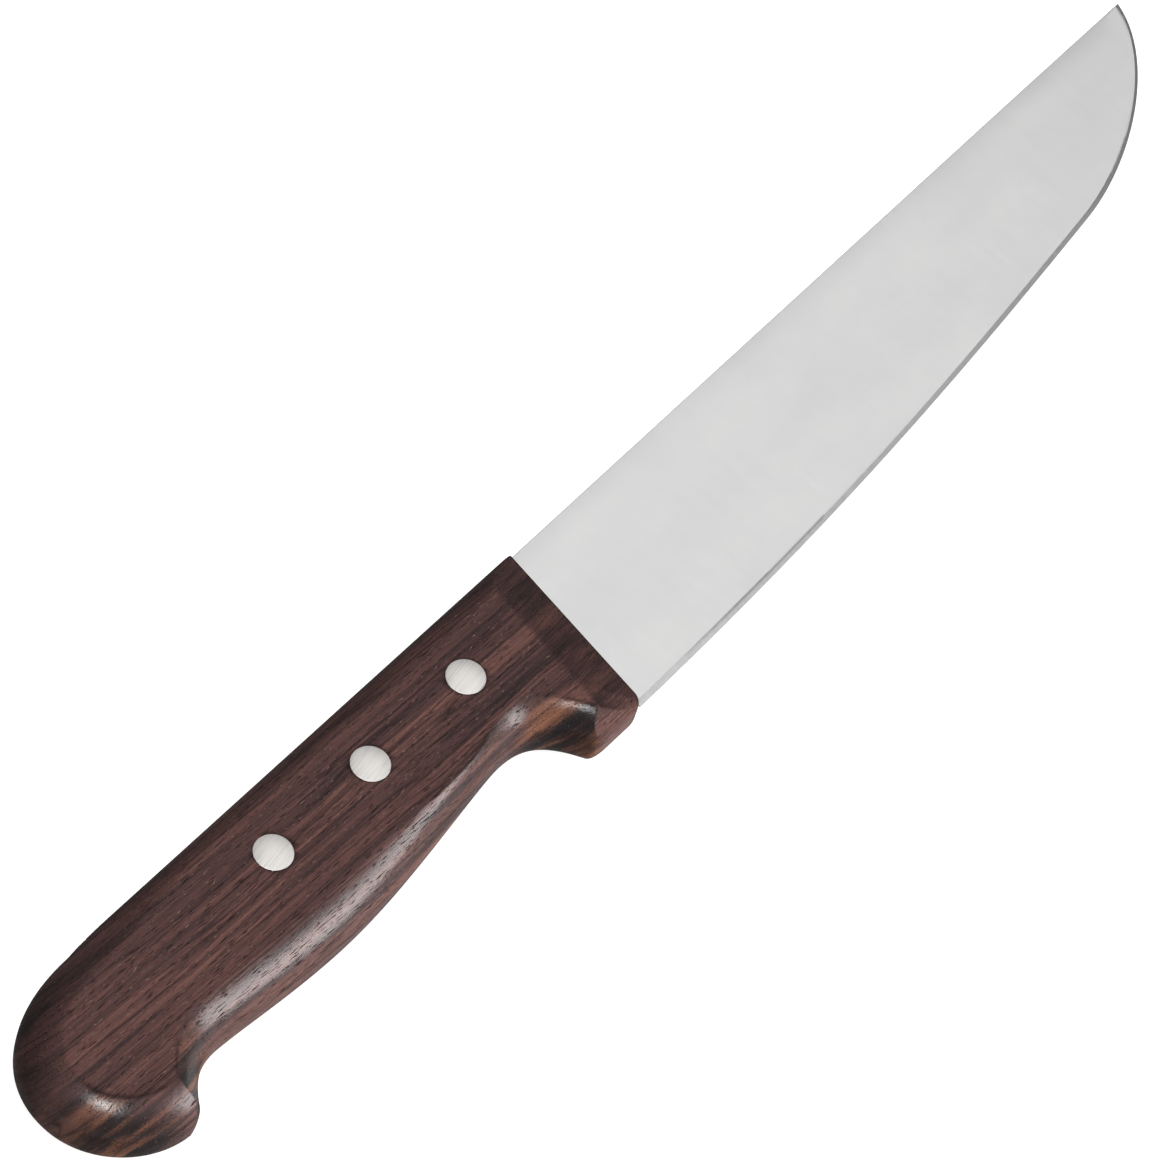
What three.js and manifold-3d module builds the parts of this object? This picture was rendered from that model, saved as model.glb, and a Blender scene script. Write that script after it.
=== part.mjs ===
// A chef's knife of the butcher pattern, as a three.js scene graph in millimetres.
//
// The knife lies on its side: +X runs along the spine to the point, +Y across the blade to the
// spine, +Z up. The pieces are a blade with a hidden tang, a one-piece wooden handle that is slotted
// along its spine for the tang, and three cutler's rivets of two halves each. The drawing's own
// zero is where the handle's front meets its spine, halfway through the thickness.

import * as THREE from 'three';
import { mergeVertices } from 'three/addons/utils/BufferGeometryUtils.js';
import Module from 'manifold-3d';

// ---------------------------------------------------------------- driving dimensions, millimetres

const gap = 0.25; // clearance between one piece and the next

const blade = {
  length: 179.2, // front of the handle to the point, along the spine
  pointRise: 1.0, // the spine climbs this much on its way to the point
  heelHeight: 35.6, // spine to cutting edge, at the handle
  spineHalf: 1.1, // half the thickness of the spine at the handle
  crossTaper: 0.0176, // loss of half thickness for each millimetre down from the spine
  lengthTaper: 0.0022, // loss of half thickness for each millimetre towards the point
  taperStart: 2, // where the lengthwise taper begins
  edgeAngle: THREE.MathUtils.degToRad(21), // each side of the sharpened edge
  edgeLand: 0.03, // half the thickness left at the very edge
};

const tang = {
  length: 100, // front of the handle to the tang's end
  frontHeight: 27,
  endHeight: 20,
  cornerRadius: 7,
};

const handle = {
  halfThickness: 7.5,
  buttReach: 142.2, // front to the back of the butt
  frontLean: THREE.MathUtils.degToRad(9.3), // the front edge leans back towards the belly
  frontLip: 2.7, // half the thickness left at the front edge
  frontBevel: 9.0, // how far back the front bevel starts
  guardDepth: 36.2, // spine to the underside of the guard
  beakDepth: 36.6, // spine to the underside of the beak
};

// Each run of the handle's edge is rounded over: `width` inwards from the outline, down to a wall
// that stays square for `wall` either side of the middle.
const roundOver = {
  spine: { width: 4.7, wall: 2.5 },
  butt: { width: 6.6, wall: 0.8 },
  grip: { width: 5.6, wall: 0.8 },
  guard: { width: 3.6, wall: 2.2 },
};

const rivet = {
  firstBack: 27.9, // front of the handle to the first rivet
  pitch: 25.5,
  count: 3,
  drop: 12.3, // spine to the rivets' line
  headRadius: 3.6,
  headThickness: 2.4,
  tubeRadius: 2.5,
  boreRadius: 1.8,
  shankRadius: 1.55,
};

const reach = 260; // larger than the knife: how far the tools' blanks stand out past it
const curveSteps = 14; // straight pieces in each curve of an outline
const roundSteps = 7; // facets across a round-over
const circleSteps = 48;

// ---------------------------------------------------------------------------------------- solids

const wasm = await Module();
wasm.setup();

function toSolid(geometry) {
  geometry.deleteAttribute('normal');
  geometry.deleteAttribute('uv');
  const merged = mergeVertices(geometry, 1e-4);
  return new wasm.Manifold(new wasm.Mesh({
    numProp: 3,
    vertProperties: new Float32Array(merged.attributes.position.array),
    triVerts: new Uint32Array(merged.index.array),
  }));
}

function toGeometry(solid) {
  const { vertProperties, triVerts } = solid.getMesh();
  const geometry = new THREE.BufferGeometry();
  geometry.setAttribute('position', new THREE.BufferAttribute(vertProperties, 3));
  geometry.setIndex(new THREE.BufferAttribute(triVerts, 1));
  geometry.computeVertexNormals();
  return geometry;
}

// A plan outline given depth on both sides of the middle plane.
function plate(shape, half) {
  const geometry = new THREE.ExtrudeGeometry(shape, {
    depth: 2 * half,
    curveSegments: curveSteps,
    bevelEnabled: false,
  });
  geometry.translate(0, 0, -half);
  return toSolid(geometry);
}

// A plate whose outline is cut back towards both faces: `width` in from the outline at the faces,
// nothing at the wall. One step makes a flat bevel, more make a quarter of an ellipse.
function bevelledPlate(shape, half, { width, wall }, steps) {
  const geometry = new THREE.ExtrudeGeometry(shape, {
    depth: 2 * wall,
    curveSegments: curveSteps,
    bevelEnabled: true,
    bevelThickness: half - wall,
    bevelSize: width,
    bevelOffset: -width,
    bevelSegments: steps,
  });
  geometry.translate(0, 0, -wall);
  return toSolid(geometry);
}

function polygon(points) {
  return new THREE.Shape(points.map(([x, y]) => new THREE.Vector2(x, y)));
}

// ---------------------------------------------------------------------------------- the handle

// How far back the handle's front edge stands at a height y, which is negative below the spine.
function frontAt(y) {
  return y * Math.tan(handle.frontLean);
}

// The front end seen from above the spine: square lip, bevels on both sides, full thickness.
function frontEnd() {
  const { frontLip, frontBevel, halfThickness } = handle;
  const across = polygon([
    [0, -frontLip],
    [0, frontLip],
    [-frontBevel, halfThickness],
    [-reach, halfThickness],
    [-reach, -halfThickness],
    [-frontBevel, -halfThickness],
  ]);
  const geometry = new THREE.ExtrudeGeometry(across, { depth: reach, bevelEnabled: false });
  geometry.rotateX(Math.PI / 2);
  geometry.translate(0, reach / 2, 0);
  geometry.rotateZ(-handle.frontLean);
  return toSolid(geometry);
}

function spineRun() {
  return polygon([[reach, 0], [-reach, 0], [-reach, -reach], [reach, -reach]]);
}

// The end of the spine, the round butt and the underside of the beak.
function buttRun() {
  const back = -handle.buttReach;
  const low = -handle.beakDepth;
  const shape = new THREE.Shape();
  shape.moveTo(60, 17);
  shape.lineTo(-117, 0);
  shape.bezierCurveTo(-133, 0, back, -7.5, back, -18.5);
  shape.bezierCurveTo(back, -28, -133.5, low, -124, low);
  shape.lineTo(60, low);
  return shape;
}

// The inside of the hand's grip: from the beak up the neck, along the belly into the finger groove
// and down the back of the guard. The wood is above it, behind the neck and in front of the guard.
function gripRun() {
  const shape = new THREE.Shape();
  shape.moveTo(-127.5, -45.5);
  shape.lineTo(-122.4, -37);
  shape.bezierCurveTo(-119.4, -32, -114.7, -28.4, -109.5, -28.7);
  shape.bezierCurveTo(-102, -29.1, -91, -30.8, -79, -30.8);
  shape.bezierCurveTo(-61, -30.8, -39, -25.8, -32, -25.8);
  shape.bezierCurveTo(-25, -25.8, -21, -30.5, -18.6, -37.5);
  shape.lineTo(-15, -48);
  shape.lineTo(reach, -48);
  shape.lineTo(reach, reach);
  shape.lineTo(-reach, reach);
  shape.lineTo(-reach, -45.5);
  return shape;
}

// The underside of the guard.
function guardRun() {
  const low = -handle.guardDepth;
  return polygon([[reach, low], [reach, reach], [-reach, reach], [-reach, -reach], [-60, -reach],
    [-60, low]]);
}

// The tang's outline, grown by `grow` at its bottom and back, up to `top` and forward to `front`.
function tangPlan(grow, top, front) {
  const back = -tang.length - grow;
  const radius = tang.cornerRadius + grow;
  const slope = Math.atan2(tang.frontHeight - tang.endHeight, tang.length);
  const lowAt = (x) => -tang.frontHeight - grow - x * Math.tan(slope);
  const cornerX = back + radius;
  const cornerY = lowAt(cornerX) + radius / Math.cos(slope);
  const shape = new THREE.Shape();
  shape.moveTo(front(top), top);
  shape.lineTo(back, top);
  shape.lineTo(back, cornerY);
  shape.absarc(cornerX, cornerY, radius, Math.PI, 1.5 * Math.PI - slope, false);
  const frontLow = lowAt(front(lowAt(0)));
  shape.lineTo(front(frontLow), frontLow);
  return shape;
}

// Space for the tang, open at the spine and at the front.
function tangSlot() {
  const plan = tangPlan(gap, 10, (y) => frontAt(y) + 10);
  return plate(plan, handle.halfThickness).intersect(bladeSection(gap));
}

function rivetPlaces() {
  return Array.from({ length: rivet.count }, (_, i) => -rivet.firstBack - i * rivet.pitch);
}

// A round bar or hole along Z, between two heights.
function bar(x, radius, bottom, top) {
  const geometry = new THREE.CylinderGeometry(radius, radius, top - bottom, circleSteps);
  geometry.rotateX(Math.PI / 2);
  geometry.translate(x, -rivet.drop, (top + bottom) / 2);
  return toSolid(geometry);
}

function makeHandle() {
  const half = handle.halfThickness;
  const seat = half - rivet.headThickness - gap;
  let solid = frontEnd();
  solid = solid.intersect(bevelledPlate(spineRun(), half, roundOver.spine, roundSteps));
  solid = solid.intersect(bevelledPlate(buttRun(), half, roundOver.butt, roundSteps));
  solid = solid.intersect(bevelledPlate(gripRun(), half, roundOver.grip, roundSteps));
  solid = solid.intersect(bevelledPlate(guardRun(), half, roundOver.guard, roundSteps));
  solid = solid.subtract(tangSlot());
  for (const x of rivetPlaces()) {
    solid = solid.subtract(bar(x, rivet.tubeRadius + gap, -reach, reach));
    solid = solid.subtract(bar(x, rivet.headRadius + gap, seat, reach));
    solid = solid.subtract(bar(x, rivet.headRadius + gap, -reach, -seat));
  }
  return toGeometry(solid);
}

// ----------------------------------------------------------------------------------- the blade

// The blade's cross-section: a wedge from the spine to the edge that also thins to the point.
function bladeSection(grow) {
  const geometry = new THREE.BoxGeometry(2 * reach, reach, 2, 2, 1, 1);
  const place = geometry.attributes.position;
  for (let i = 0; i < place.count; i += 1) {
    const x = place.getX(i) === 0 ? blade.taperStart : place.getX(i);
    const y = place.getY(i);
    const thinning = blade.lengthTaper * Math.max(0, x - blade.taperStart);
    const half = blade.spineHalf + blade.crossTaper * y - thinning + grow;
    place.setXYZ(i, x, y, Math.sign(place.getZ(i)) * half);
  }
  return toSolid(geometry);
}

// Everything above the cutting edge, bevelled along it on both sides.
function edgeRun() {
  const heel = -blade.heelHeight;
  const shape = new THREE.Shape();
  shape.moveTo(-reach, heel);
  shape.lineTo(-6, heel);
  shape.bezierCurveTo(56, -35, 99.7, -29.9, 136.5, -25.5);
  shape.bezierCurveTo(153, -23.5, 174.7, -12.1, blade.length, blade.pointRise);
  shape.lineTo(blade.length + 3, 9.5);
  shape.lineTo(blade.length + 3, 60);
  shape.lineTo(-reach, 60);
  return shape;
}

// The tang and the blade in plan, without the cutting edge, which edgeRun shapes.
function bladePlan() {
  const shape = tangPlan(0, 0, (y) => frontAt(y) + gap);
  const low = -60;
  shape.lineTo(frontAt(low) + gap, low);
  shape.lineTo(reach, low);
  shape.lineTo(reach, blade.pointRise * (reach / blade.length));
  shape.lineTo(0, 0);
  return shape;
}

function makeBlade() {
  const half = 2 * blade.spineHalf;
  const bevel = { width: (half - blade.edgeLand) / Math.tan(blade.edgeAngle), wall: blade.edgeLand };
  let solid = plate(bladePlan(), half).intersect(bladeSection(0));
  solid = solid.intersect(bevelledPlate(edgeRun(), half, bevel, 1));
  for (const x of rivetPlaces()) {
    solid = solid.subtract(bar(x, rivet.tubeRadius + gap, -half, half));
  }
  return toGeometry(solid);
}

// ---------------------------------------------------------------------------------- the rivets

// Turned halves: the profile is drawn in the XY plane, and its Y becomes the knife's Z.
function turned(profile) {
  const points = profile.map(([x, y]) => new THREE.Vector2(x, y));
  const geometry = new THREE.LatheGeometry(points, circleSteps);
  geometry.rotateX(Math.PI / 2);
  return geometry;
}

// The half with the solid shank. Its head is in the upper side of the handle.
function makeMaleHalf() {
  const top = handle.halfThickness;
  const under = top - rivet.headThickness;
  const shankEnd = -under + 2 * gap;
  const chamfer = 0.4;
  return turned([
    [0, shankEnd],
    [rivet.shankRadius - chamfer, shankEnd],
    [rivet.shankRadius, shankEnd + chamfer],
    [rivet.shankRadius, under],
    [rivet.headRadius, under],
    [rivet.headRadius, top],
    [0, top],
  ]);
}

// The half with the tube that the shank is driven into. Its head is in the lower side.
function makeFemaleHalf() {
  const bottom = -handle.halfThickness;
  const under = bottom + rivet.headThickness;
  const mouth = -under - gap;
  return turned([
    [0, bottom],
    [rivet.headRadius, bottom],
    [rivet.headRadius, under],
    [rivet.tubeRadius, under],
    [rivet.tubeRadius, mouth],
    [rivet.boreRadius, mouth],
    [rivet.boreRadius, under + gap],
    [0, under + gap],
  ]);
}

// ----------------------------------------------------------------------------------- the knife

const steel = new THREE.MeshStandardMaterial({ color: 0xc8c8c6, roughness: 0.35, metalness: 1 });
const wood = new THREE.MeshStandardMaterial({ color: 0x4a2c26, roughness: 0.5, metalness: 0 });
const nickel = new THREE.MeshStandardMaterial({ color: 0xdedbd6, roughness: 0.4, metalness: 1 });

const knife = new THREE.Group();

function addPiece(name, geometry, material, x = 0, y = 0) {
  const mesh = new THREE.Mesh(geometry, material);
  mesh.name = name;
  mesh.position.set(x, y, 0);
  knife.add(mesh);
}

addPiece('blade', makeBlade(), steel);
addPiece('handle', makeHandle(), wood);
rivetPlaces().forEach((x, i) => {
  addPiece(`rivet_male_${i + 1}`, makeMaleHalf(), nickel, x, -rivet.drop);
  addPiece(`rivet_female_${i + 1}`, makeFemaleHalf(), nickel, x, -rivet.drop);
});

// The frame's origin is under the middle of the knife, on the surface that it lies on.
const box = new THREE.Box3().setFromObject(knife);
const middle = box.getCenter(new THREE.Vector3());
knife.position.set(-middle.x, -middle.y, -box.min.z);

export default knife;
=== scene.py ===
# %% [markdown]
# # A butcher-pattern chef's knife
#
# The knife lies on its side on a pale table. It has three kinds of piece: a steel blade whose tang
# runs back through the handle, a one-piece rosewood handle, and three cutler's rivets of two halves
# each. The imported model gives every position. This script makes finer pieces in the same places,
# and gives them their finishes.

from math import cos, pi, radians, sin, sqrt, tan

import bmesh
import bpy
import numpy as np
from mathutils import Matrix, Vector
from mathutils.geometry import delaunay_2d_cdt


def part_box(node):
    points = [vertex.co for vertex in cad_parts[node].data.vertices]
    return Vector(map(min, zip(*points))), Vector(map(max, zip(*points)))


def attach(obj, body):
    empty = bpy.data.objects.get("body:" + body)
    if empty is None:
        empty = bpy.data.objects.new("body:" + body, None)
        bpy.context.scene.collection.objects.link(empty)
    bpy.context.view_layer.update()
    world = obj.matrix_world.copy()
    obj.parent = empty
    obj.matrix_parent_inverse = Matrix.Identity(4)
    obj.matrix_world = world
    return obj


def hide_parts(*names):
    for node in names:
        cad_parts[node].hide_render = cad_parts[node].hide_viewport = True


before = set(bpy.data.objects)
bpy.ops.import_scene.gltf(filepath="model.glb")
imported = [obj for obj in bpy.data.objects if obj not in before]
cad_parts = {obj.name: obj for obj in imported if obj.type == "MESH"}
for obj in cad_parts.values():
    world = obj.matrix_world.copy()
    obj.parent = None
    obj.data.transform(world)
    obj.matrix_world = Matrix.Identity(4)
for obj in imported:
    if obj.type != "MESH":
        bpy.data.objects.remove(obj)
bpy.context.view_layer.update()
print("CAD nodes:", sorted(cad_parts))

# %% [markdown]
# ## The drawing's own zero
#
# A knife is drawn from the corner where the handle's front meets its spine, halfway through the
# thickness: x runs to the point, y up to the spine, z across. Working from that corner in
# millimetres keeps the numbers those of a workshop drawing. The corner's place comes from the
# handle's box, and one function turns drawing millimetres into metres in the frame.

# %% From the drawing to the frame
handle_low, handle_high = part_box("handle")
corner = np.array([handle_high.x, handle_high.y, (handle_low.z + handle_high.z) / 2])
MM = 0.001


def in_frame(points):
    return np.asarray(points, float) * MM + corner


print("drawing zero, in metres:", corner.round(4))

# %% [markdown]
# ## The camera
#
# A long lens from a metre and a half away keeps the knife's proportions nearly those of a drawing.
# The camera stands behind the butt, well above the table, and is rolled so that the knife runs
# from the lower left corner to the upper right. Azimuth, elevation and distance are easier to read
# and to change than a matrix, so the place is worked out from them.

# %% The camera
AIM = Vector((-0.016457, 0.0045, 0.015))
AZIMUTH, ELEVATION, ROLL = radians(-155.612), radians(55.8313), radians(18.8839)
DISTANCE = 1.49591
FOCAL_LENGTH, SENSOR_WIDTH = 265.546, 36

away = Vector((cos(ELEVATION) * cos(AZIMUTH), cos(ELEVATION) * sin(AZIMUTH), sin(ELEVATION)))
lens = bpy.data.cameras.new("camera")
lens.lens, lens.sensor_width = FOCAL_LENGTH, SENSOR_WIDTH
lens.clip_start, lens.clip_end = 0.1, 20
camera = bpy.data.objects.new("camera", lens)
bpy.context.scene.collection.objects.link(camera)
turn = away.to_track_quat("Z", "Y").to_matrix().to_4x4() @ Matrix.Rotation(ROLL, 4, "Z")
camera.matrix_world = Matrix.Translation(AIM + away * DISTANCE) @ turn
bpy.context.scene.camera = camera
print("camera at", [round(v, 3) for v in camera.matrix_world.translation])

# %% [markdown]
# ## Light and table
#
# Steel shows what it reflects, so a knife is lit by large panels placed where its surfaces look.
# One panel stands where the flat of the blade looks, one low on the belly's side puts a sheen on
# the round-overs, and a smaller one overhead makes the small highlights on the butt and the guard.
# The rest of the room is dim, which lets the tip's edge go dark.

# %% Room and panels
ROOM_LIGHT = 0.13
scene = bpy.context.scene
scene.view_settings.view_transform = "Standard"
world = bpy.data.worlds.new("studio")
world.use_nodes = True
world.node_tree.nodes["Background"].inputs["Color"].default_value = (1, 1, 1, 1)
world.node_tree.nodes["Background"].inputs["Strength"].default_value = ROOM_LIGHT
scene.world = world


def softbox(name, direction, distance, width, height, radiance):
    """A panel that faces the knife. Its power follows from its area, so radiance stays put."""
    light = bpy.data.lights.new(name, "AREA")
    light.shape, light.size, light.size_y = "RECTANGLE", width, height
    light.energy = radiance * pi * width * height
    panel = bpy.data.objects.new(name, light)
    toward = Vector(direction).normalized()
    turned = toward.to_track_quat("Z", "Y").to_matrix().to_4x4()
    panel.matrix_world = Matrix.Translation(toward * distance) @ turned
    scene.collection.objects.link(panel)
    return panel


softbox("panel_blade", (0.44, 0.22, 0.87), distance=1.8, width=1.3, height=1.3,
        radiance=0.94)
softbox("panel_belly", (0.36, -0.78, 0.51), distance=1.6, width=0.66, height=0.9,
        radiance=11.5)
softbox("panel_overhead", (-0.40, -0.18, 0.90), distance=1.8, width=0.16, height=0.16,
        radiance=205.0)
print("watts:", {light.name: round(light.energy, 1) for light in bpy.data.lights})

# %% [markdown]
# ## The table
#
# The knife lies on a pale sheet. A plain white sheet would need far more light than the steel can
# take before it looked white, so this one glows a little by itself, like acrylic lit from
# underneath, and shadows almost vanish. It lies a hair below the knife, because two surfaces in
# one plane flicker.

# %% Table
TABLE_HALF, TABLE_TOP = 6.0, -0.0003
table_mesh = bpy.data.meshes.new("table")
table_mesh.from_pydata(
    [(-TABLE_HALF, -TABLE_HALF, TABLE_TOP), (TABLE_HALF, -TABLE_HALF, TABLE_TOP),
     (TABLE_HALF, TABLE_HALF, TABLE_TOP), (-TABLE_HALF, TABLE_HALF, TABLE_TOP)],
    [], [(0, 1, 2, 3)])
table = bpy.data.objects.new("table", table_mesh)
scene.collection.objects.link(table)
acrylic = bpy.data.materials.new("white_acrylic")
acrylic.use_nodes = True
sheet = acrylic.node_tree.nodes["Principled BSDF"].inputs
sheet["Base Color"].default_value = (0.35, 0.35, 0.35, 1)
sheet["Roughness"].default_value = 0.8
sheet["Specular IOR Level"].default_value = 0.1
sheet["Emission Color"].default_value = (1, 1, 1, 1)
sheet["Emission Strength"].default_value = 0.95
table_mesh.materials.append(acrylic)
print("table:", 2 * TABLE_HALF, "m across")

# %% [markdown]
# ## Runs of an edge
#
# A cutler shapes a blank edge by edge: each run of the outline gets its own round-over or bevel,
# and where two runs meet, a mitre is left. So a piece is described by its runs. A run is a line
# with the material on its left, and a rule that gives the half thickness at a distance in from
# it. The half thickness at any place is the least that any run leaves there.

# %% Lines and distances
def curve(*points, steps=26):
    """Points along a cubic curve of four control points, without the first."""
    a, b, c, d = (np.array(p, float) for p in points)
    t = np.linspace(0, 1, steps + 1)[1:, None]
    return (1 - t) ** 3 * a + 3 * (1 - t) ** 2 * t * b + 3 * (1 - t) * t**2 * c + t**3 * d


def line_of(*parts):
    """One line of straight and curved parts. A part of four points is a curve from the first."""
    points = []
    for part in parts:
        part = np.array(part, float)
        points.extend([part] if part.ndim == 1 else curve(*part))
    return np.array(points)


def even(line, step):
    """The line's points again, a step apart, with each point's direction."""
    length = np.r_[0, np.cumsum(np.linalg.norm(np.diff(line, axis=0), axis=1))]
    at = np.linspace(0, length[-1], int(length[-1] / step) + 1)
    points = np.stack([np.interp(at, length, line[:, i]) for i in (0, 1)], axis=1)
    along = np.gradient(points, axis=0)
    return points, along / np.linalg.norm(along, axis=1, keepdims=True)


def distance_in(points, line):
    """How far each point is from the line: positive on the line's left. Past a corner, the mean
    of the two sides' directions tells left from right."""
    step = np.diff(line, axis=0)
    left = np.stack([-step[:, 1], step[:, 0]], axis=1)
    left /= np.linalg.norm(left, axis=1, keepdims=True)
    at_corner = np.vstack([left[:1], left[:-1] + left[1:], left[-1:]])
    best = np.full(len(points), np.inf)
    signed = np.zeros(len(points))
    for i, (start, along) in enumerate(zip(line, step)):
        t = (points - start) @ along / (along @ along)
        gap = points - start - np.clip(t, 0, 1)[:, None] * along
        normal = np.where((t < 0)[:, None], at_corner[i],
                          np.where((t > 1)[:, None], at_corner[i + 1], left[i]))
        far = np.linalg.norm(gap, axis=1)
        side = np.where(np.einsum("ij,ij->i", gap, normal) < 0, -1.0, 1.0)
        signed = np.where(far < best, far * side, signed)
        best = np.minimum(best, far)
    return signed


# %% Cross-section rules
def rounded(wall, top, square=0.35):
    """Part of an ellipse, from a wall to the face, which it meets at a slight crease. `square` is
    how much of the ellipse's width is left out at the top."""
    up = (top - wall) / sqrt(1 - square**2)

    def half_at(share, flat):
        u = np.clip(1 - share * (1 - square), 0, 1)
        return np.where(share < 1, wall + up * np.sqrt(1 - u * u), flat)

    half_at.rows = (1 - np.cos(np.linspace(0, np.arccos(square), 18))) / (1 - square)
    return half_at


def bevelled(wall, top, crown=0.0, ease=0.0):
    """A bevel from a wall to the face: `crown` makes it bulge, `ease` breaks its lower edge."""

    def half_at(share, flat):
        lip = np.clip(1 - share / max(ease, 1e-9), 0, 1)
        rise = share * (1 + crown * (1 - share))
        return wall + (top - wall) * rise - 0.4 * (1 - np.sqrt(1 - lip * lip))

    half_at.rows = np.r_[ease * (1 - np.cos(np.linspace(0, pi / 2, 5)))[:-1] if ease else [],
                         np.linspace(ease, 1, 12)]
    return half_at


# %% [markdown]
# ## From runs to a mesh
#
# The face of such a piece has no overhang: above each place in the plan there is one height. So
# the plan is filled with triangles, and each corner is lifted to the half thickness there. Rows of
# points run along each edge, closest where the surface is steepest, and extra points lie exactly
# on the mitres, so that the ridges come out straight. The same plan turned over makes the lower
# side, and a wall joins the two.

# %% Shares and halves
def share_of(points, run):
    """How far in each point is from a run's line, and its share of the way to the crease. A run
    with no crease has its shares in millimetres."""
    line, crease, _ = run
    inwards = distance_in(points, line)
    if crease is None:
        return inwards, inwards
    short = -distance_in(points, crease)
    return inwards, np.where(short <= 0, 1.0, inwards / np.maximum(inwards + short, 1e-9))


def least_half(points, runs, flat_at):
    """The least half thickness that any of the runs leaves, and how far in from them all."""
    flat = flat_at(points)
    least, room = flat.copy(), np.full(len(points), np.inf)
    for run in runs:
        inwards, share = share_of(points, run)
        least = np.minimum(least, run[2](np.maximum(share, 0), flat))
        room = np.minimum(room, inwards)
    return least, room


# %% Plan points
NEAR = 200  # lines run on past the piece; points further out than this are dropped


def plan_points(runs, flat_at, step, core):
    """Points along every run, on the mitres between runs, and on a coarse grid in the middle."""
    kept, rims = [], []
    for run in runs:
        line, crease, rule = run
        others = [other for other in runs if other is not run]
        base, along = even(line, step)
        close = np.abs(base).max(axis=1) < NEAR
        base, along = base[close], along[close]
        width = 1.0 if crease is None else np.maximum(-distance_in(base, crease), 0.5)[:, None]
        far = width * rule.rows + 0 * base[:, :1]
        if crease is not None:
            far = np.hstack([far, far[:, -1:] + 0.4, far[:, -1:] + 0.9])
        inwards = np.stack([-along[:, 1], along[:, 0]], axis=1)
        grid = base[:, None] + far[:, :, None] * inwards[:, None]
        points = grid.reshape(-1, 2)
        mine = least_half(points, [run], flat_at)[0]
        rest, room = least_half(points, others, flat_at)
        lead = np.where(room >= 0, rest - mine, -1.0).reshape(grid.shape[:2])
        clear = room.reshape(grid.shape[:2])
        kept.append(grid[:, 1:][lead[:, 1:] >= -1e-6])
        whole, first, last = slice(None), slice(None, -1), slice(1, None)
        for a, b in (((first, last), (last, last)),
                     ((whole, slice(1, -1)), (whole, slice(2, None)))):
            cross = (lead[a] * lead[b] < 0) & (clear[a] > 0) & (clear[b] > 0)
            t = (lead[a][cross] / (lead[a][cross] - lead[b][cross]))[:, None]
            kept.append(grid[a][cross] * (1 - t) + grid[b][cross] * t)
        rim, edge = [], clear[:, 0]
        for i in range(len(base)):
            if i and (edge[i] >= 0) != (edge[i - 1] >= 0):
                t = edge[i - 1] / (edge[i - 1] - edge[i])
                rim.append(base[i - 1] * (1 - t) + base[i] * t)
            if edge[i] >= 0:
                rim.append(base[i])
        rims.append(np.array(rim).reshape(-1, 2))
    low = np.min([r.min(axis=0) for r in rims if len(r)], axis=0)
    high = np.max([r.max(axis=0) for r in rims if len(r)], axis=0)
    xs, ys = (np.arange(low[i] + core / 2, high[i], core) for i in (0, 1))
    grid = np.stack(np.meshgrid(xs, ys), axis=-1).reshape(-1, 2)
    least, room = least_half(grid, runs, flat_at)
    kept.append(grid[(room > core) & (least > flat_at(grid) - 1e-6)])
    return kept, rims


# %% Plan to solid
def solid_of(runs, flat_at, step, core, wall_rows):
    """Vertices and faces of the whole closed piece, in drawing millimetres."""
    inner, rims = plan_points(runs, flat_at, step, core)
    edges, count = [], 0
    for rim in rims:
        edges += [(count + i, count + i + 1) for i in range(len(rim) - 1)]
        count += len(rim)
    plan = delaunay_2d_cdt([Vector(p) for p in np.vstack(rims + inner)], edges, [], 0, 1e-4)
    flat = np.array([tuple(v) for v in plan[0]])
    triangles = np.array([t for t in plan[2] if len(t) == 3])
    middles = flat[triangles].mean(axis=1)
    inside = np.min([distance_in(middles, run[0]) for run in runs], axis=0) > 0
    triangles = triangles[inside]
    a, b, c = (flat[triangles[:, i]] for i in range(3))
    area = (b[:, 0] - a[:, 0]) * (c[:, 1] - a[:, 1]) - (b[:, 1] - a[:, 1]) * (c[:, 0] - a[:, 0])
    triangles = np.where((area < 0)[:, None], triangles[:, ::-1], triangles)
    used = np.unique(triangles)
    number = np.full(len(flat), -1)
    number[used] = np.arange(len(used))
    flat, triangles = flat[used], number[triangles]
    half = least_half(flat, runs, flat_at)[0]
    total = len(flat)
    vertices = [np.c_[flat, half], np.c_[flat, -half]]
    faces = [tuple(t) for t in triangles] + [tuple(t[::-1] + total) for t in triangles]
    sides = {(int(t[i]), int(t[(i + 1) % 3])) for t in triangles for i in range(3)}
    border = [side for side in sides if side[::-1] not in sides]
    ring = sorted({v for side in border for v in side})
    spot = {v: i for i, v in enumerate(ring)}
    for k in range(1, wall_rows):
        vertices.append(np.c_[flat[ring], half[ring] * (1 - 2 * k / wall_rows)])

    def at(v, k):
        if k == 0:
            return v
        return v + total if k == wall_rows else 2 * total + (k - 1) * len(ring) + spot[v]

    for a, b in border:
        faces += [(at(b, k), at(a, k), at(a, k + 1), at(b, k + 1)) for k in range(wall_rows)]
    return np.vstack(vertices), faces


def sanded(vertices, faces, passes, strength=0.5):
    """Takes the sharpness off every edge, as abrasive paper does: each point moves towards the
    middle of its neighbours."""
    pairs = np.array(list({tuple(sorted((f[i], f[i - 1]))) for f in faces
                           for i in range(len(f))}))
    count = np.bincount(pairs.ravel(), minlength=len(vertices))[:, None]
    for _ in range(passes):
        total = np.zeros_like(vertices)
        np.add.at(total, pairs[:, 0], vertices[pairs[:, 1]])
        np.add.at(total, pairs[:, 1], vertices[pairs[:, 0]])
        vertices = vertices + strength * (total / count - vertices)
    return vertices


# %% Mesh and boolean helpers
def new_piece(name, vertices, faces):
    """An object whose place is in its mesh."""
    mesh = bpy.data.meshes.new(name)
    mesh.from_pydata([tuple(v) for v in in_frame(vertices)], [], faces)
    mesh.update()
    piece = bpy.data.objects.new(name, mesh)
    scene.collection.objects.link(piece)
    return piece


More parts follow.
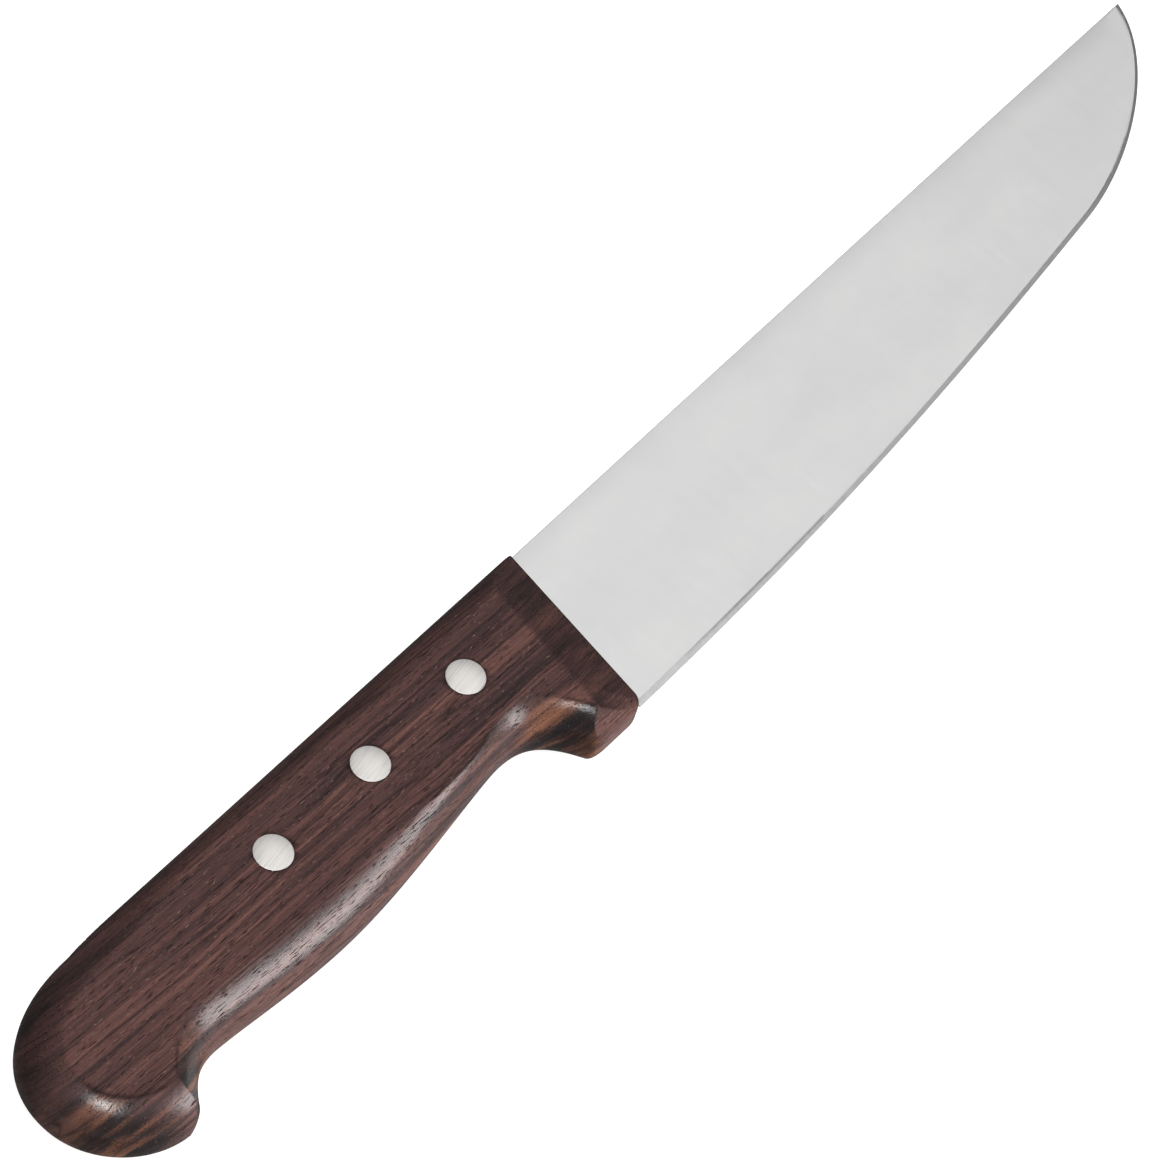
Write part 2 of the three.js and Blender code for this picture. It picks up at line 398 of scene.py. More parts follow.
def bar(x, y, radius, bottom, top, sides=96):
    """A round cutter along z."""
    angles = np.linspace(0, 2 * pi, sides, endpoint=False)
    ring = np.c_[x + radius * np.cos(angles), y + radius * np.sin(angles)]
    vertices = np.vstack([np.c_[ring, np.full(sides, bottom)], np.c_[ring, np.full(sides, top)]])
    faces = [tuple(range(sides))[::-1], tuple(range(sides, 2 * sides))]
    faces += [(i, (i + 1) % sides, (i + 1) % sides + sides, i + sides) for i in range(sides)]
    return new_piece("cutter", vertices, faces)


def cut_away(piece, cutters):
    """Subtracts each cutter in turn, then keeps the result as a plain mesh."""
    for cutter in cutters:
        step = piece.modifiers.new("cut", "BOOLEAN")
        step.operation, step.solver, step.object = "DIFFERENCE", "MANIFOLD", cutter
    plain(piece)
    for cutter in cutters:
        bpy.data.objects.remove(cutter)


def plain(piece):
    """Replaces a piece's mesh with what its modifiers make of it."""
    bpy.context.view_layer.update()
    made = bpy.data.meshes.new_from_object(
        piece.evaluated_get(bpy.context.evaluated_depsgraph_get()))
    piece.modifiers.clear()
    piece.data = made


def smooth_but(piece, degrees):
    """Smooth shading, except across edges that turn by more than this."""
    piece.data.shade_smooth()
    piece.data.set_sharp_from_angle(angle=radians(degrees))


# %% [markdown]
# ## The blade
#
# A stamped and ground blade is a wedge: thickest at the spine, thinner towards the cutting edge
# and towards the point, where the last 50 mm lose more than half of their thickness. The edge
# itself is a second, steeper bevel, and it narrows where the steel is thin. The tang is the same
# steel, and lies in the handle's slot with its back level with the wood. The wedge is the flat
# rule here, and the sharpened edge is a run.

# %% Blade outline
GAP = 0.25
BLADE_LENGTH, POINT_RISE, HEEL = 179.2, 1.0, -35.6
SPINE_HALF, CROSS_TAPER, LENGTH_TAPER, TAPER_START = 1.1, 0.0176, 0.0022, 2.0
POINT_TAPER, POINT_START = 0.00016, 128
EDGE_ANGLE, EDGE_LAND, SPINE_EASE = radians(21), 0.03, 0.2
TANG_LENGTH, TANG_FRONT, TANG_END, TANG_CORNER = 100.0, 27.0, 20.0, 7.0
LEAN = radians(9.3)
FAR = 260.0


def blade_half(points):
    x, y = points[:, 0], points[:, 1]
    half = SPINE_HALF + CROSS_TAPER * y - LENGTH_TAPER * np.maximum(0, x - TAPER_START)
    return half - POINT_TAPER * np.maximum(0, x - POINT_START) ** 2


def eased(inwards, flat):
    u = np.clip(1 - inwards / SPINE_EASE, 0, 1)
    return flat - SPINE_EASE * (1 - np.sqrt(1 - u * u))


def sharpened(inwards, flat):
    return EDGE_LAND + tan(EDGE_ANGLE) * inwards


def square_cut(inwards, flat):
    return flat + 0 * inwards


eased.rows = SPINE_EASE * (1 - np.cos(np.linspace(0, pi / 2, 5)))
sharpened.rows = np.arange(0, 3.5, 0.3)
square_cut.rows = np.array([0.0, 0.3])

tang_slope = (TANG_FRONT - TANG_END) / TANG_LENGTH


def tang_low(x, grow=0.0):
    return -TANG_FRONT - grow - x * tang_slope


def tang_line(grow, shoulder):
    """Down the tang's end, round its corner, forward to the shoulder and down it."""
    back, radius = -TANG_LENGTH - grow, TANG_CORNER + grow
    centre = (back + radius, tang_low(back + radius, grow) + radius * sqrt(1 + tang_slope**2))
    turns = np.linspace(pi, 1.5 * pi - np.arctan(tang_slope), 13)
    arc = np.c_[centre[0] + radius * np.cos(turns), centre[1] + radius * np.sin(turns)]
    front = shoulder - TANG_FRONT * tan(LEAN)
    return np.vstack([[(back, 20)], arc, [(front, tang_low(front, grow))],
                      [(front - 40 * tan(LEAN), tang_low(front, grow) - 40)]])


edge_line = line_of(
    (-FAR, HEEL), (-6, HEEL),
    [(-6, HEEL), (56, -35), (99.7, -29.9), (136.5, -25.5)],
    [(136.5, -25.5), (153, -23.5), (174.7, -12.1), (BLADE_LENGTH, POINT_RISE)],
    (BLADE_LENGTH + 3, 9.5))
blade_runs = [
    (line_of((FAR, POINT_RISE * FAR / BLADE_LENGTH), (0, 0), (-FAR, 0)), None, eased),
    (tang_line(0, GAP), None, square_cut),
    (edge_line, None, sharpened),
]
print("half thickness at heel and point, mm:", blade_half(
    np.array([(0, 0), (BLADE_LENGTH, POINT_RISE)])).round(2))

# %% [markdown]
# ## The handle
#
# The handle is one block of rosewood, slotted along its spine for the tang. Its runs are the
# spine, the round butt that ends in a beak, the grip with its finger groove and the back of the
# guard, the guard's underside, and the long bevel at the front. Each has its own round-over. A
# short sanding takes the sharpness off the mitres, and a longer one rounds the toe, which is the
# guard's front corner.

# %% Handle outline
HANDLE_HALF = (handle_high.z - handle_low.z) / 2 / MM
UNDER, BEAK = -36.2, -36.6


def smooth_line(*points):
    """A line that passes smoothly through the points."""
    points = np.array(points, float)
    slope = np.gradient(points, axis=0)
    parts = [points[:1]]
    for i in range(len(points) - 1):
        a, d = points[i], points[i + 1]
        parts.append(curve(a, a + slope[i] / 3, d - slope[i + 1] / 3, d, steps=6))
    return np.vstack(parts)


def leaning(back):
    """A line parallel to the front edge, so far behind it."""
    shift = back / cos(LEAN)
    return line_of((-80 * tan(LEAN) - shift, -80), (30 * tan(LEAN) - shift, 30))


spine_run = (line_of((FAR, 0), (-FAR, 0)), line_of((FAR, -4.7), (-FAR, -4.7)),
             rounded(2.5, HANDLE_HALF, 0.2))
butt_line = line_of(
    (60, 17), (-117, 0),
    [(-117, 0), (-133, 0), (-142.2, -7.5), (-142.2, -18.5)],
    [(-142.2, -18.5), (-142.2, -28), (-133.5, BEAK), (-124, BEAK)], (-118, BEAK), (-110, -60))
butt_crease = line_of(
    (60, 10.4), (-116.4, -6.6),
    [(-116.4, -6.6), (-129.5, -6.6), (-135.6, -12.5), (-135.6, -19)],
    [(-135.6, -19), (-135.6, -25), (-130.5, -30), (-123, -30)], (-112, -30), (-102, -60))
butt_run = (butt_line, butt_crease, rounded(0.8, HANDLE_HALF, 0.4))
grip_line = line_of(
    (-150, -41.5), (-127.2, -36.75),
    [(-127.2, -36.75), (-124.8, -36.25), (-123.0, -36.3), (-121.8, -34.6)],
    [(-121.8, -34.6), (-118.4, -30.6), (-114.7, -28.4), (-109.5, -28.7)],
    [(-109.5, -28.7), (-102, -29.1), (-91, -30.8), (-79, -30.8)],
    [(-79, -30.8), (-61, -30.8), (-39, -25.8), (-32, -25.8)],
    [(-32, -25.8), (-25, -25.8), (-21.4, -29.5), (-19.4, -34.4)],
    [(-19.4, -34.4), (-18.9, -35.7), (-18.2, -36.1), (-16.6, -36.23)],
    (60, -42))
grip_crease = np.vstack([[(-130.5, -41)], smooth_line(
    (-127.3, -35.6), (-125.8, -33.4), (-123.9, -30.5), (-120.6, -27.2),
    (-116.5, -24.6), (-112, -23.1), (-107, -22.8), (-100, -23.2), (-92, -23.8), (-80, -24.1),
    (-66, -24.3), (-52, -24.4), (-43, -24.3), (-37, -23.6), (-32, -22.2), (-27.5, -21.3),
    (-23.5, -22.1), (-20, -24.9), (-17.6, -28.3), (-15.6, -31.6), (-13.8, -33.8)),
    [(-9.5, -42)]])
grip_run = (grip_line, grip_crease, rounded(0.8, HANDLE_HALF, 0.4))
guard_run = (line_of((-58, -60), (-38, UNDER), (FAR, UNDER)),
             line_of((-60, -60), (-40, -32.3), (FAR, -32.3)),
             bevelled(2.3, HANDLE_HALF, 0.0, 0.04))
front_line = np.vstack([
    line_of((-20, -39), (-8.2, UNDER),
            [(-8.2, UNDER), (-6.8, -36.05), (-5.9, -35.4), (-34.2 * tan(LEAN), -34.2)]),
    [(30 * tan(LEAN), 30)]])
front_run = (front_line, leaning(9.8), bevelled(2.7, HANDLE_HALF, 0.0, 0.04))
handle_runs = [spine_run, butt_run, grip_run, guard_run, front_run]
print("handle:", len(handle_runs), "runs; half thickness, mm:", round(HANDLE_HALF, 2))


def handle_half(points):
    return np.full(len(points), HANDLE_HALF)


# %% Rivet places
rivet_boxes = [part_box(f"rivet_male_{i}") for i in (1, 2, 3)]
rivet_centres = [(low + high) / 2 for low, high in rivet_boxes]
rivet_spots = [((c.x - corner[0]) / MM, (c.y - corner[1]) / MM) for c in rivet_centres]
HEAD_RADIUS = (rivet_boxes[0][1].x - rivet_boxes[0][0].x) / 2 / MM
HEAD_THICK, TUBE_RADIUS, BORE_RADIUS, SHANK_RADIUS = 2.4, 2.5, 1.8, 1.55
print("rivets at", np.round(rivet_spots, 2).tolist(), "head radius", round(HEAD_RADIUS, 2))

# %% Blade mesh
blade = new_piece("blade_fine", *solid_of(
    blade_runs, blade_half, step=0.5, core=3.0, wall_rows=1))
cut_away(blade, [bar(x, y, TUBE_RADIUS + GAP, -3, 3) for x, y in rivet_spots])
smooth_but(blade, 12)
print("blade:", len(blade.data.polygons), "faces")

# %% Sanded handle
TOE, TOE_PASSES = (-6.5, -36.0), 9
body, skin = solid_of(handle_runs, handle_half, step=0.4, core=1.4, wall_rows=8)
body = sanded(body, skin, 1)
from_toe = np.linalg.norm(body[:, :2] - TOE, axis=1)[:, None]
body = sanded(body, skin, TOE_PASSES, np.clip(0.65 - 0.28 * from_toe, 0, 0.5))
handle = new_piece("handle_fine", body, skin)
print("handle before cutting:", len(skin), "faces")

# %% Slot and rivet holes
FIT, HEAD_FIT, THROUGH = 0.04, 0.01, 9


def slot_cutter():
    """The space for the tang, open at the spine and at the front."""
    line = tang_line(FIT, 30)
    plan = np.vstack([line[:-1], [(30, 20)]])
    plan[0] = (plan[0][0], 20)
    count = len(plan)
    half = (blade_half(plan) + FIT)[:, None]
    vertices = np.vstack([np.c_[plan, -half], np.c_[plan, half]])
    faces = [tuple(range(count))[::-1], tuple(range(count, 2 * count))]
    faces += [(i, (i + 1) % count, (i + 1) % count + count, i + count) for i in range(count)]
    return new_piece("cutter", vertices, faces)


seat = HANDLE_HALF - HEAD_THICK - GAP
cutters = [slot_cutter()]
for x, y in rivet_spots:
    cutters += [bar(x, y, TUBE_RADIUS + GAP, -THROUGH, THROUGH),
                bar(x, y, HEAD_RADIUS + HEAD_FIT, seat, THROUGH),
                bar(x, y, HEAD_RADIUS + HEAD_FIT, -THROUGH, -seat)]
cut_away(handle, cutters)
smooth_but(handle, 16)
print("handle:", len(handle.data.polygons), "faces")

# %% [markdown]
# ## Polish, end grain and painted shade
#
# The round-overs of a handle are buffed to a soft shine. Wood cut across its grain shows the
# heart's bold bands and drinks up oil, so the ends are darker. On top of that, painted shade
# darkens the ends further, the back, which faces away from the lamps, and a thin line along the
# creases. Painting this by hand would have to be done again after each change of shape, so every
# point of the mesh gets three numbers instead: how polished it is, how dark, with the oil and the
# painted shade together, and how much of the heart it shows. They follow from the way the point
# faces and from how far it is from a crease.

# %% Which way each point faces
mesh = handle.data
place, facing = np.zeros(len(mesh.vertices) * 3), np.zeros(len(mesh.vertices) * 3)
mesh.vertices.foreach_get("co", place)
mesh.vertices.foreach_get("normal", facing)
plan = ((place.reshape(-1, 3) - corner) / MM)[:, :2]
facing = facing.reshape(-1, 3)
ends, back_side, up = np.abs(facing[:, 0]), np.maximum(facing[:, 1], 0), np.abs(facing[:, 2])
rounds = least_half(plan, [spine_run, butt_run, grip_run], handle_half)[0]
flats = least_half(plan, [guard_run, front_run], handle_half)[0]
turned_over = (rounds < flats - 0.02) * 1.0
print("share of points on a round-over:", turned_over.mean().round(2))


# %% Polish, painted shade with end-grain oil, and heart
def part_way(values, none, full):
    """0 at `none`, 1 at `full`, and straight between."""
    return np.clip((values - none) / (full - none), 0, 1)


height = plan[:, 1]
CREASE_WIDTH, ON_TOP = 0.45, 6.2
before_beak = plan[:, 0] > -118
near_crease = np.minimum(np.abs(distance_in(plan, butt_crease)) + 9 * before_beak,
                         np.abs(distance_in(plan, grip_crease)) + 0.3)
on_top = least_half(plan, handle_runs, handle_half)[0] > ON_TOP
# Painted shade: a thin dark line along the beak's and the grip's creases, only on the lower part of
# the handle.
painted_crease_shade = (0.6 * np.exp(-(near_crease / CREASE_WIDTH) ** 2) * on_top
            * part_way(height, -18, -24))
# polish sets the coat; the dark mark is painted shade on the back, on the ends and along the
# creases, and on the ends also the oil that end grain soaks up; heart is the end grain's own
# colour.
marks = {
    "polish": turned_over * part_way(up, 0.35, 0.75) * part_way(back_side, 1 / 3, 0),
    "dark": np.clip(0.75 * back_side + (1.2 - 0.65 * turned_over) * ends + painted_crease_shade, 0, 0.7),
    "heart": turned_over * part_way(ends, 0.1, 0.45) * part_way(height, -20, -27)}
for name, values in marks.items():
    mesh.attributes.new(name, "FLOAT", "POINT").data.foreach_set("value", values)
    print(name, "mean", values.mean().round(3))

# %% [markdown]
# ## The rivets
#
# A cutler's rivet is two turned halves: one with a shank, one with a tube that grips it. The
# heads are driven below the surface and sanded level with the wood. Each half is turned once,
# and a Geometry Nodes tree sets it down along the handle.

# %% Turned halves
def turned(name, profile, sides=96):
    """A profile of (radius, height), from axis to axis, spun round z at the drawing's zero."""
    shape = bmesh.new()
    points = [shape.verts.new((r * MM, 0, z * MM)) for r, z in profile]
    edges = [shape.edges.new(pair) for pair in zip(points, points[1:])]
    bmesh.ops.spin(shape, geom=points + edges, axis=(0, 0, 1), cent=(0, 0, 0), dvec=(0, 0, 0),
                   angle=2 * pi, steps=sides, use_merge=True)
    bmesh.ops.remove_doubles(shape, verts=shape.verts, dist=1e-7)
    bmesh.ops.recalc_face_normals(shape, faces=shape.faces)
    mesh = bpy.data.meshes.new(name)
    shape.to_mesh(mesh)
    shape.free()
    half = bpy.data.objects.new(name, mesh)
    scene.collection.objects.link(half)
    return half


# %% Rivet profiles
TOP, RIM_EASE = HANDLE_HALF, 0.06
under = TOP - HEAD_THICK
male = turned("shank_half", [
    (0, -under + 0.5), (SHANK_RADIUS - 0.4, -under + 0.5), (SHANK_RADIUS, -under + 0.9),
    (SHANK_RADIUS, under), (HEAD_RADIUS, under), (HEAD_RADIUS, TOP - RIM_EASE),
    (HEAD_RADIUS - 0.3 * RIM_EASE, TOP - 0.3 * RIM_EASE), (HEAD_RADIUS - RIM_EASE, TOP),
    (0, TOP)])
female = turned("tube_half", [
    (0, -TOP), (HEAD_RADIUS - RIM_EASE, -TOP),
    (HEAD_RADIUS - 0.3 * RIM_EASE, -TOP + 0.3 * RIM_EASE),
    (HEAD_RADIUS, -TOP + RIM_EASE), (HEAD_RADIUS, -under), (TUBE_RADIUS, -under),
    (TUBE_RADIUS, under - GAP), (BORE_RADIUS, under - GAP), (BORE_RADIUS, -under + GAP),
    (0, -under + GAP)])
print("rivet halves:", len(male.data.polygons), "and", len(female.data.polygons), "faces")


# %% Small node helpers
def add(tree, kind, values=None, **settings):
    """Adds a node, sets it up, and links or sets its inputs."""
    node = tree.nodes.new(kind)
    for name, value in settings.items():
        setattr(node, name, value)
    for name, value in (values or {}).items():
        if isinstance(value, bpy.types.NodeSocket):
            tree.links.new(value, node.inputs[name])
        else:
            node.inputs[name].default_value = value
    return node


def maths(tree, operation, *values, clamp=False):
    return add(tree, "ShaderNodeMath", dict(enumerate(values)), operation=operation,
               use_clamp=clamp).outputs[0]


# %% Rivets in a row
def row_tree():
    """Sets one turned half down at every rivet's place."""
    tree = bpy.data.node_groups.new("rivet_row", "GeometryNodeTree")
    face = tree.interface
    face.new_socket("Geometry", in_out="OUTPUT", socket_type="NodeSocketGeometry")
    for name, kind in (("Half", "Object"), ("Count", "Int"), ("First place", "Vector"),
                       ("Step", "Vector"), ("Metal", "Material")):
        face.new_socket(name, in_out="INPUT", socket_type="NodeSocket" + kind)
    given = tree.nodes.new("NodeGroupInput").outputs
    out = tree.nodes.new("NodeGroupOutput")
    line = add(tree, "GeometryNodeMeshLine", {
        "Count": given["Count"], "Start Location": given["First place"],
        "Offset": given["Step"]})
    half = add(tree, "GeometryNodeObjectInfo", {"Object": given["Half"]})
    copies = add(tree, "GeometryNodeInstanceOnPoints", {
        "Points": line.outputs[0], "Instance": half.outputs["Geometry"]})
    real = add(tree, "GeometryNodeRealizeInstances", {"Geometry": copies.outputs[0]})
    metal = add(tree, "GeometryNodeSetMaterial", {
        "Geometry": real.outputs[0], "Material": given["Metal"]})
    tree.links.new(metal.outputs[0], out.inputs[0])
    return tree


def rivet_row(name, tree, half, metal):
    """One mesh of three halves, where the frame has them."""
    piece = bpy.data.objects.new(name, bpy.data.meshes.new(name))
    scene.collection.objects.link(piece)
    modifier = piece.modifiers.new("row", "NODES")
    modifier.node_group = tree
    first = in_frame((*rivet_spots[0], 0))
    step = (in_frame((*rivet_spots[-1], 0)) - first) / (len(rivet_spots) - 1)
    values = {"Half": half, "Count": len(rivet_spots), "First place": first.tolist(),
              "Step": step.tolist(), "Metal": metal}
    for socket in tree.interface.items_tree:
        if socket.item_type == "SOCKET" and socket.in_out == "INPUT":
            modifier[socket.identifier] = values[socket.name]
    plain(piece)
    bpy.data.objects.remove(half)
    smooth_but(piece, 30)
    print(name, "has", len(piece.data.polygons), "faces")
    return piece


# %% [markdown]
# ## Rosewood
#
# Rosewood is a dark, purplish brown with nearly black veins, all running along the handle. A
# pattern that fills space, read from the object's own coordinates, is cut by each surface just as
# the real wood is: long streaks on the flats, bold bands where the butt cuts across the grain.
# Most layers of the pattern are noise stretched along the grain: slow colour zones, narrow
# streaks, dark veins, fine fibres and short open pores. One layer is a plain row of broad dark
# and light bands across the board, lighter towards the grip side, partly as painted light on the
# belly. The polish is a thin coat, because a coat shines without washing out the colour below it.

# %% Pattern helpers
def new_material(name):
    material = bpy.data.materials.new(name)
    material.use_nodes = True
    return material, material.node_tree, material.node_tree.nodes["Principled BSDF"]


def stretched(tree, vector, scale, detail=2.0, roughness=0.5, seed=0.0):
    """Noise whose scale differs along each axis, in patterns per millimetre."""
    place = add(tree, "ShaderNodeMapping", {
        "Vector": vector, "Scale": scale, "Location": (seed, seed * 1.7, seed * 0.6)})
    return add(tree, "ShaderNodeTexNoise", {
        "Vector": place.outputs[0], "Scale": 1.0, "Detail": detail,
        "Roughness": roughness}).outputs["Fac"]


def ramp(tree, factor, stops):
    """Colours blended from stop to stop."""
    node = add(tree, "ShaderNodeValToRGB", {"Fac": factor})
    made = node.color_ramp.elements
    while len(made) < len(stops):
        made.new(0.5)
    for stop, (position, colour) in zip(made, stops):
        stop.position = position
        stop.color = (*colour, 1)
    return node.outputs["Color"]


def remap(tree, value, low, high, new_low=0.0, new_high=1.0):
    return add(tree, "ShaderNodeMapRange", {
        "Value": value, "From Min": low, "From Max": high, "To Min": new_low,
        "To Max": new_high}).outputs[0]


def mix(tree, factor, a, b, kind="MIX"):
    node = add(tree, "ShaderNodeMix", data_type="RGBA", blend_type=kind)
    for socket, value in ((0, factor), (6, a), (7, b)):
        if isinstance(value, bpy.types.NodeSocket):
            tree.links.new(value, node.inputs[socket])
        else:
            node.inputs[socket].default_value = value
    return node.outputs[2]


def blend_of(tree, *parts):
    """A weighted sum of patterns."""
    total = 0.0
    for weight, pattern in parts:
        total = maths(tree, "MULTIPLY_ADD", pattern, weight, total)
    return total


def mark(tree, name):
    """One of the numbers stored at the handle's points."""
    return add(tree, "ShaderNodeAttribute", attribute_name=name).outputs["Fac"]


# %% Grain
BOARD_HEIGHT = 30
# The lightest tones, at the grip side, are partly the wood's own bands and partly painted light
# where the belly faces the lamps.
BOARD_TONES = (  # broad dark and light bands, from the grip side (0) to the spine (1)
    (0.0, 0.66), (0.14, 0.58), (0.22, 0.34), (0.31, 0.56), (0.39, 0.34), (0.43, 0.38),
    (0.48, 0.62), (0.57, 0.60), (0.70, 0.50), (0.85, 0.42), (0.97, 0.34))


def wood_grain(tree):
    """The layers of the pattern: noise stretched along the grain, and the board's own bands."""
    place = add(tree, "ShaderNodeTexCoord").outputs["Object"]
    grain = add(tree, "ShaderNodeMapping", {
        "Vector": place, "Scale": (1000, 1000, 1000),
        "Rotation": (radians(-24), 0, radians(1.4))}).outputs[0]
    sway = stretched(tree, grain, (0.011, 0.04, 0.04), 2.0, 0.5, 3.0)
    ripple = stretched(tree, grain, (0.05, 0.16, 0.16), 2.0, 0.5, 9.0)
    shift = blend_of(tree, (2.6, sway), (0.9, ripple))
    moved = add(tree, "ShaderNodeCombineXYZ", {"Y": shift}).outputs[0]
    layers = add(tree, "ShaderNodeVectorMath", {0: grain, 1: moved},
                 operation="ADD").outputs[0]
    wavy = add(tree, "ShaderNodeVectorMath", {
        0: place, 1: add(tree, "ShaderNodeVectorMath", {0: moved, 1: (MM,) * 3},
                         operation="MULTIPLY").outputs[0]}, operation="ADD").outputs[0]
    height = add(tree, "ShaderNodeSeparateXYZ", {"Vector": wavy}).outputs["Y"]
    across = remap(tree, height, corner[1] - BOARD_HEIGHT * MM, corner[1])
    return {
        "board": ramp(tree, across, [(level, (grey,) * 3) for level, grey in BOARD_TONES]),
        "zone": stretched(tree, layers, (0.006, 0.16, 0.03), 2.0, 0.5, 1.0),
        "band": stretched(tree, layers, (0.012, 0.55, 0.08), 3.0, 0.55, 5.0),
        "streak": stretched(tree, layers, (0.03, 2.2, 0.5), 3.0, 0.6, 8.0),
        "fibre": stretched(tree, layers, (0.22, 9.0, 7.0), 2.0, 0.6, 7.0),
        "speckle": stretched(tree, layers, (1.6, 5.0, 5.0), 2.0, 0.6, 15.0),
        "vein": stretched(tree, layers, (0.010, 0.50, 0.05), 1.0, 0.5, 12.0),
        "pore": stretched(tree, layers, (0.4, 5.0, 5.0), 1.0, 0.4, 20.0),
        "fleck": stretched(tree, layers, (0.9, 4.0, 4.0), 1.0, 0.4, 31.0)}


# %% Colour of the wood
VEIN_BLACK, PORE_BLACK = (0.012, 0.008, 0.009, 1), (0.006, 0.004, 0.004, 1)
# The last black is what the dark mark lays on: painted shade, and on the ends partly the oil that
# end grain soaks up.
FLECK_TAN, SHADE_AND_OIL_BLACK = (0.30, 0.20, 0.16, 1), (0.008, 0.005, 0.005, 1)


def wood_colour(tree, grain, open_pore):
    """Brown side grain and bolder heartwood, veins, pores and flecks, with painted shade and
    end-grain oil on top.
    """
    tone = blend_of(tree, (0.17, grain["board"]), (0.18, grain["zone"]), (0.29, grain["band"]),
                    (0.19, grain["streak"]), (0.11, grain["fibre"]), (0.08, grain["speckle"]))
    side_grain = ramp(tree, tone, [
        (0.40, (0.024, 0.015, 0.016)), (0.46, (0.049, 0.027, 0.026)),
        (0.52, (0.090, 0.043, 0.039)), (0.60, (0.175, 0.080, 0.065))])
    bold = blend_of(tree, (0.5, grain["zone"]), (0.35, grain["band"]), (0.15, grain["fibre"]))
    heartwood = ramp(tree, bold, [
        (0.43, (0.010, 0.007, 0.008)), (0.485, (0.030, 0.016, 0.014)),
        (0.515, (0.160, 0.066, 0.040)), (0.60, (0.360, 0.150, 0.085))])
    colour = mix(tree, mark(tree, "heart"), side_grain, heartwood)
    near_vein = maths(tree, "ABSOLUTE", maths(tree, "SUBTRACT", grain["vein"], 0.5))
    vein_dark = remap(tree, near_vein, 0.0, 0.03, 0.7, 0.0)
    colour = mix(tree, vein_dark, colour, VEIN_BLACK)
    colour = mix(tree, maths(tree, "MULTIPLY", open_pore, 0.75), colour, PORE_BLACK)
    colour = mix(tree, remap(tree, grain["fleck"], 0.68, 0.8, 0.0, 0.5), colour, FLECK_TAN)
    # Painted shade: the dark mark darkens the back, the ends and the creases, on the ends partly
    # also end-grain oil.
    return mix(tree, mark(tree, "dark"), colour, SHADE_AND_OIL_BLACK)


# %% Rosewood
def rosewood():
    """The wood's colour, with polish on the round-overs and open pores in the surface."""
    material, tree, shader = new_material("rosewood")
    shader.inputs["Specular IOR Level"].default_value = 0.15
    shader.inputs["Coat Roughness"].default_value = 0.21
    grain = wood_grain(tree)
    open_pore = remap(tree, grain["pore"], 0.64, 0.70)
    tree.links.new(wood_colour(tree, grain, open_pore), shader.inputs["Base Color"])
    polish = mark(tree, "polish")
    rough = blend_of(tree, (0.25, grain["streak"]), (-0.2, polish), (0.2, open_pore),
                     (0.6, mark(tree, "dark")), (0.47, 1.0))
    tree.links.new(rough, shader.inputs["Roughness"])
    oil = maths(tree, "MULTIPLY", polish, maths(tree, "SUBTRACT", 0.6, open_pore), clamp=True)
    tree.links.new(oil, shader.inputs["Coat Weight"])
    relief = blend_of(tree, (0.25, grain["fibre"]), (-1.0, open_pore))
    bump = add(tree, "ShaderNodeBump", {"Height": relief, "Strength": 0.8, "Distance": 0.0001})
    tree.links.new(bump.outputs[0], shader.inputs["Normal"])
    tree.links.new(bump.outputs[0], shader.inputs["Coat Normal"])
    return material


# %% [markdown]
# ## Steel and nickel silver
#
# The blade is satin steel: the grinder's belt leaves fine lines that blur what the metal
# reflects, and the metal itself is almost one colour. The rivet heads are a whiter, softer metal,
# sanded together with the wood, so their lines are coarser and run along the handle.

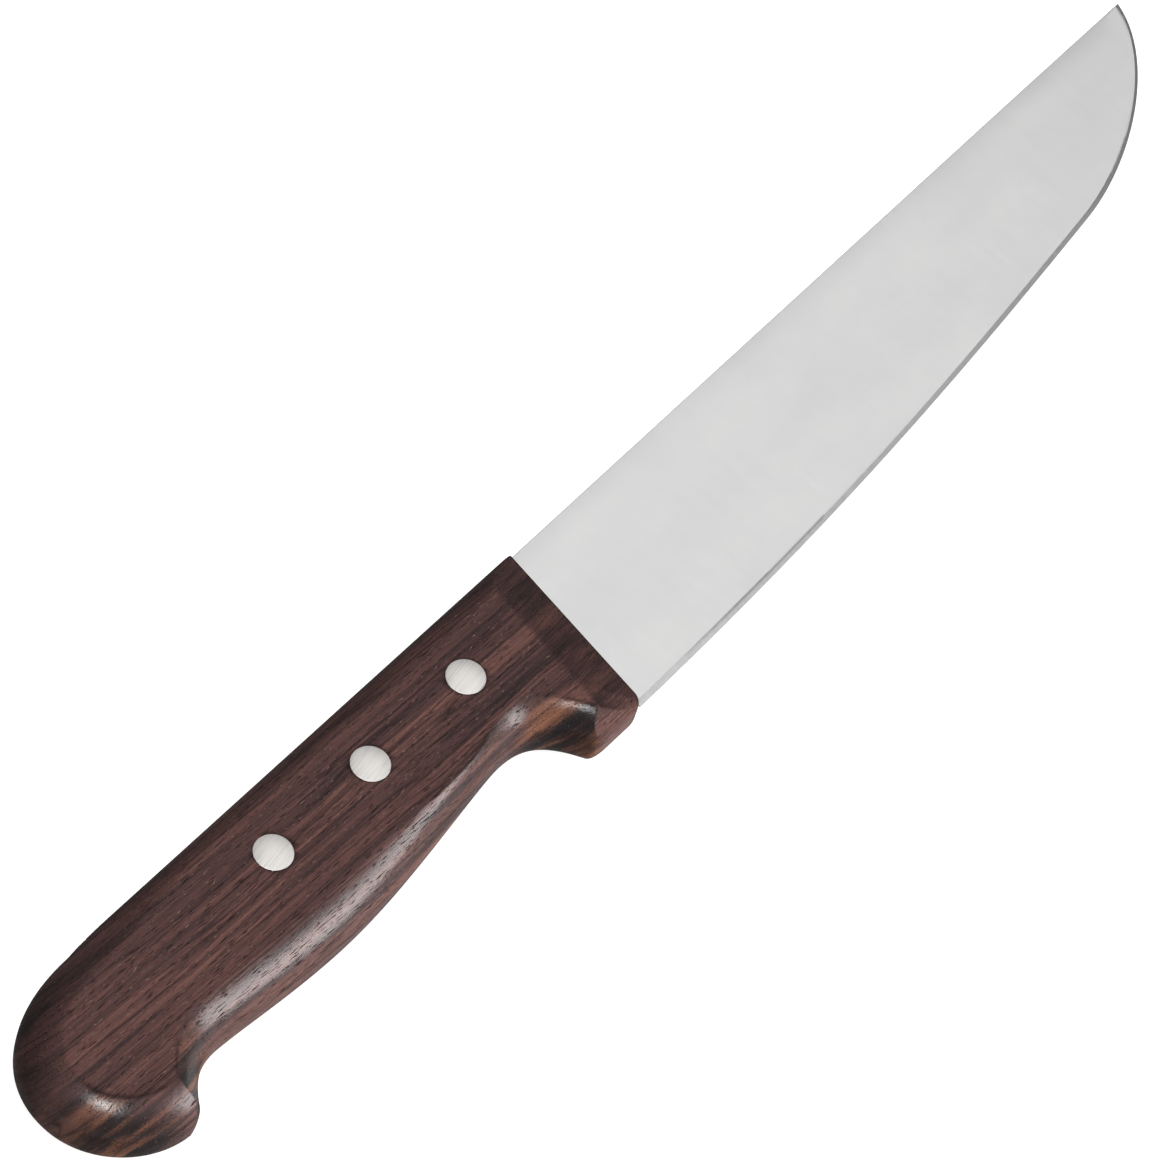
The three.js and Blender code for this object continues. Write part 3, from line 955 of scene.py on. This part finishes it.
# %% Satin steel
def satin_steel():
    material, tree, shader = new_material("satin_steel")
    shader.inputs["Metallic"].default_value = 1.0
    place = add(tree, "ShaderNodeTexCoord").outputs["Object"]
    mm = add(tree, "ShaderNodeMapping", {"Vector": place, "Scale": (1000,) * 3}).outputs[0]
    cloud = stretched(tree, mm, (0.05, 0.09, 0.2), 4.0, 0.55, 2.0)
    lines = stretched(tree, mm, (5.0, 0.15, 1.0), 2.0, 0.5, 4.0)
    tint = ramp(tree, cloud, [(0.3, (0.71, 0.71, 0.712)), (0.7, (0.755, 0.755, 0.75))])
    tree.links.new(tint, shader.inputs["Base Color"])
    tree.links.new(remap(tree, lines, 0.3, 0.7, 0.29, 0.34), shader.inputs["Roughness"])
    bump = add(tree, "ShaderNodeBump", {"Height": lines, "Strength": 0.12,
                                        "Distance": 0.000003})
    tree.links.new(bump.outputs[0], shader.inputs["Normal"])
    return material


# %% Nickel silver
def nickel_silver():
    material, tree, shader = new_material("nickel_silver")
    shader.inputs["Metallic"].default_value = 1.0
    place = add(tree, "ShaderNodeTexCoord").outputs["Object"]
    mm = add(tree, "ShaderNodeMapping", {
        "Vector": place, "Scale": (1000,) * 3, "Rotation": (0, 0, radians(-8))}).outputs[0]
    lines = stretched(tree, mm, (0.12, 7.0, 1.0), 4.0, 0.65, 6.0)
    tint = ramp(tree, lines, [(0.35, (0.74, 0.70, 0.67)), (0.47, (0.90, 0.87, 0.84)),
                              (0.65, (0.95, 0.93, 0.90))])
    tree.links.new(tint, shader.inputs["Base Color"])
    tree.links.new(remap(tree, lines, 0.3, 0.7, 0.35, 0.5), shader.inputs["Roughness"])
    bump = add(tree, "ShaderNodeBump", {"Height": lines, "Strength": 0.5,
                                        "Distance": 0.00001})
    tree.links.new(bump.outputs[0], shader.inputs["Normal"])
    return material


# %% Put the finishes on
nickel = nickel_silver()
blade.data.materials.clear()
blade.data.materials.append(satin_steel())
handle.data.materials.clear()
handle.data.materials.append(rosewood())
row = row_tree()
shanks = rivet_row("rivet_shanks", row, male, nickel)
tubes = rivet_row("rivet_tubes", row, female, nickel)

# %% [markdown]
# ## Joining the frame
#
# Each finished piece rides on the frame's one body, and the imported nodes that it stands for are
# hidden.

# %% Ride, and hide what is replaced
for piece, slot, nodes in (
    (blade, "blade_steel", ["blade"]),
    (handle, "handle_wood", ["handle"]),
    (shanks, "rivet_metal", [f"rivet_male_{i}" for i in (1, 2, 3)]),
    (tubes, "rivet_metal", [f"rivet_female_{i}" for i in (1, 2, 3)]),
):
    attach(piece, "root")
    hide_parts(*nodes)
